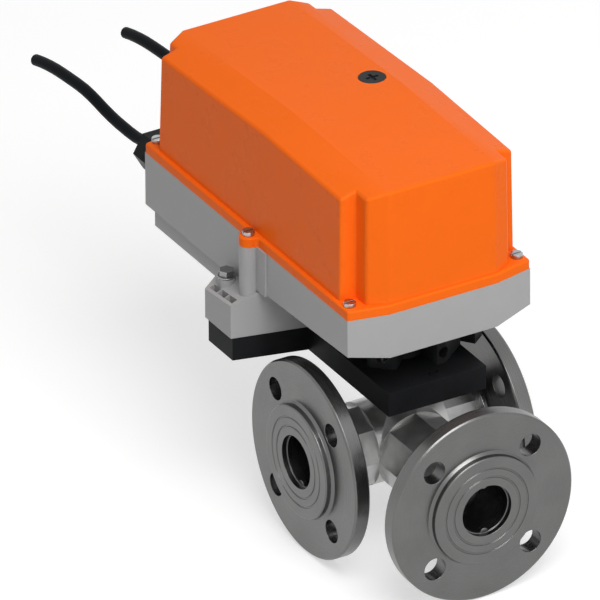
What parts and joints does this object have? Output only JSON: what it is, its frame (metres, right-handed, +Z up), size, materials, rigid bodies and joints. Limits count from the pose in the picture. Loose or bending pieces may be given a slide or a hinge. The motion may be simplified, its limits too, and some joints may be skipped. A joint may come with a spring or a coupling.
{
  "type": "motorised three-way ball valve",
  "caption": "Flanged three-way ball valve with an angled ball bore, turned through a bracket and adapter by an electric actuator under a tall hood, with cut cables at its back",
  "frame": {"origin": "centre of the raised gasket face of the common port, on the port's axis", "axes": "-Y leaves through the common port, X runs along the two run ports, +Z is up along the stem to the actuator, whose hood reaches back along +Y"},
  "size_m": [0.1472, 0.4471, 0.2569],
  "materials": {
    "stainless": "turned and lightly polished stainless steel",
    "ball_polished": "polished",
    "stem_steel": "turned",
    "seat_white": "smooth, waxy sealing plastic",
    "seal_black": "matt",
    "bracket_black": "satin black coating",
    "adapter_black": "satin black coating",
    "screw_zinc": "bright zinc",
    "gear_steel": "machined",
    "gear_brass": "machined",
    "housing_grey": "satin grey coating on die-cast aluminium",
    "hood_orange": "fine satin moulding",
    "plug_black": "satin moulding",
    "motor_grey": "satin",
    "board_green": "solder mask",
    "terminal_green": "moulded",
    "capacitor_blue": "shrunk sleeve",
    "winding_brown": "varnished winding",
    "gland_black": "satin moulding",
    "cable_black": "soft sheath"
  },
  "bodies": {
    "valve_and_actuator": {"valve_body": "stainless", "flange_a": "stainless", "flange_b": "stainless", "flange_ab": "stainless", "hub_seal_a": "seal_black", "hub_seal_b": "seal_black", "hub_seal_ab": "seal_black", "seat_a": "seat_white", "seat_b": "seat_white", "seat_ab": "seat_white", "seat_retainer_a": "stainless", "seat_retainer_b": "stainless", "seat_retainer_ab": "stainless", "stem_thrust_washer": "seat_white", "stem_packing": "seat_white", "packing_gland_nut": "stem_steel", "bracket_plate": "bracket_black", "pad_bolts": "screw_zinc", "adapter": "adapter_black", "adapter_screws": "screw_zinc", "housing": "housing_grey", "hood_gasket": "seal_black", "hood": "hood_orange", "cover_screws": "screw_zinc", "ear_bolt": "screw_zinc", "ear_washer": "screw_zinc", "gear_plate": "gear_steel", "gear_plate_screws": "screw_zinc", "top_plate": "gear_steel", "top_plate_pillars": "gear_steel", "top_plate_screws": "screw_zinc", "output_bush": "gear_brass", "stop_pin": "gear_steel", "gear_axles": "gear_steel", "drive_motor": "motor_grey", "motor_screws": "screw_zinc", "circuit_board": "board_green", "board_pillars": "screw_zinc", "terminal_block": "terminal_green", "capacitors": "capacitor_blue", "transformer": "winding_brown", "gland_bodies": "gland_black", "gland_seals": "seal_black", "gland_dome_nuts": "gland_black", "gland_lock_nuts": "gland_black", "cable_ends_inside": "cable_black", "cable_left": "cable_black", "cable_right": "cable_black"},
    "valve_drive": {"ball": "ball_polished", "stem": "stem_steel", "drive_coupling": "gear_steel", "output_shaft": "gear_steel", "output_gear": "gear_steel"},
    "second_gear_set": {"second_gear": "gear_brass"},
    "first_gear_set": {"first_gear": "gear_brass"},
    "motor_drive": {"motor_pinion": "gear_steel"},
    "override_drive": {"override_shaft": "gear_steel"},
    "override_cover": {"override_plug": "plug_black"}
  },
  "joints": [
    {"name": "valve_turn", "type": "hinge", "parent": "valve_and_actuator", "child": "valve_drive", "pos_m": [0, 0.105, 0.1], "axis": [0, 0, 1], "range_deg": [0, 90]},
    {"name": "second_gear_turn", "type": "hinge", "parent": "valve_and_actuator", "child": "second_gear_set", "pos_m": [0, 0.15, 0.1], "axis": [0, 0, 1], "range_deg": [-360, 0]},
    {"name": "first_gear_turn", "type": "hinge", "parent": "valve_and_actuator", "child": "first_gear_set", "pos_m": [0, 0.186, 0.1], "axis": [0, 0, 1], "range_deg": [0, 1080]},
    {"name": "motor_turn", "type": "hinge", "parent": "valve_and_actuator", "child": "motor_drive", "pos_m": [0, 0.21, 0.1], "axis": [0, 0, 1], "range_deg": [-3240, 0]},
    {"name": "override_turn", "type": "hinge", "parent": "valve_and_actuator", "child": "override_drive", "pos_m": [0.025, 0.17154, 0.1], "axis": [0, 0, 1], "range_deg": [0, 1620]},
    {"name": "plug_lift", "type": "slide", "parent": "valve_and_actuator", "child": "override_cover", "axis": [0, 0, 1], "range_m": [0, 0.012]}
  ],
  "couplings": [
    {"joint": "second_gear_turn", "follows": "valve_turn", "ratio": -4},
    {"joint": "first_gear_turn", "follows": "valve_turn", "ratio": 12},
    {"joint": "motor_turn", "follows": "valve_turn", "ratio": -36},
    {"joint": "override_turn", "follows": "valve_turn", "ratio": 18}
  ]
}
